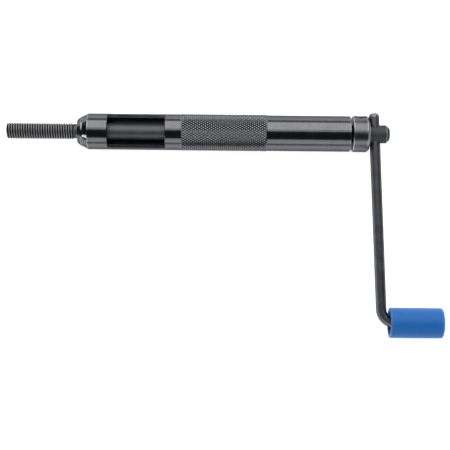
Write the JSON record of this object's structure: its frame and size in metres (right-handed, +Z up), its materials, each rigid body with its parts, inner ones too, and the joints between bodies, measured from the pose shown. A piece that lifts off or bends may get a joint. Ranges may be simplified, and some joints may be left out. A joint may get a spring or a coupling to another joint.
{
  "type": "coil thread insert installer",
  "caption": "Hand-cranked installer that winds a wire coil insert down through a threaded nose: windowed, knurled barrel, threaded spindle, depth collar, crank and turning plastic grip.",
  "frame": {"origin": "centre of the nose's front face, on the spindle's axis", "axes": "+X back along the spindle towards the crank, +Z up out of the loading window; the crank arm lies towards -Y with the tool flat on a table"},
  "size_m": [0.2657, 0.1365, 0.022],
  "materials": {
    "barrel_steel": "turned steel, black oxide, satin",
    "nose_steel": "turned steel, black oxide",
    "spindle_steel": "ground steel, black oxide, oiled",
    "collar_steel": "turned steel, black oxide, satin",
    "rod_steel": "drawn rod, black oxide",
    "screw_steel": "hardened steel, black oxide",
    "washer_steel": "bright zinc",
    "spring_steel": "phosphated spring steel",
    "bronze": "sintered oil-filled bronze",
    "brass": "turned brass",
    "rubber": "nitrile rubber",
    "grip_plastic": "moulded polypropylene, satin blue"
  },
  "bodies": {
    "barrel": {"barrel": "barrel_steel", "nose_cartridge": "nose_steel", "rear_guide_bush": "bronze", "rear_snap_ring": "spring_steel"},
    "travel_bush": {"travel_bush": "bronze", "drag_o_ring": "rubber"},
    "spindle": {"spindle": "spindle_steel", "front_circlip": "spring_steel", "rear_circlip": "spring_steel", "crank_rod": "rod_steel", "crank_set_screw": "screw_steel", "grip_inner_clip": "spring_steel", "grip_inner_washer": "washer_steel", "grip_outer_washer": "washer_steel", "grip_outer_clip": "spring_steel"},
    "depth_collar": {"depth_collar": "collar_steel"},
    "collar_pad": {"collar_pad": "brass"},
    "collar_screw": {"collar_screw": "screw_steel"},
    "grip": {"grip": "grip_plastic"}
  },
  "joints": [
    {"name": "spindle_slide", "type": "slide", "parent": "barrel", "child": "travel_bush", "axis": [1, 0, 0], "range_m": [-0.0005, 0.08]},
    {"name": "spindle_turn", "type": "hinge", "parent": "travel_bush", "child": "spindle", "pos_m": [0.06, 0, 0], "axis": [-1, 0, 0], "continuous": true},
    {"name": "collar_slide", "type": "slide", "parent": "spindle", "child": "depth_collar", "axis": [1, 0, 0], "range_m": [-0.0005, 0]},
    {"name": "collar_pad_lift", "type": "slide", "parent": "depth_collar", "child": "collar_pad", "axis": [0, 0.9636, 0.2672], "range_m": [0, 0.001]},
    {"name": "collar_screw_turn", "type": "hinge", "parent": "collar_pad", "child": "collar_screw", "pos_m": [0.1713, 0.00771, 0.00214], "axis": [0, 0.9636, 0.2672], "range_deg": [0, 360]},
    {"name": "grip_spin", "type": "hinge", "parent": "spindle", "child": "grip", "pos_m": [0.206, -0.11444, -0.00178], "axis": [1, 0, 0], "continuous": true}
  ],
  "couplings": [
    {"joint": "collar_screw_turn", "follows": "collar_pad_lift", "rad_per_m": 6283.2}
  ]
}
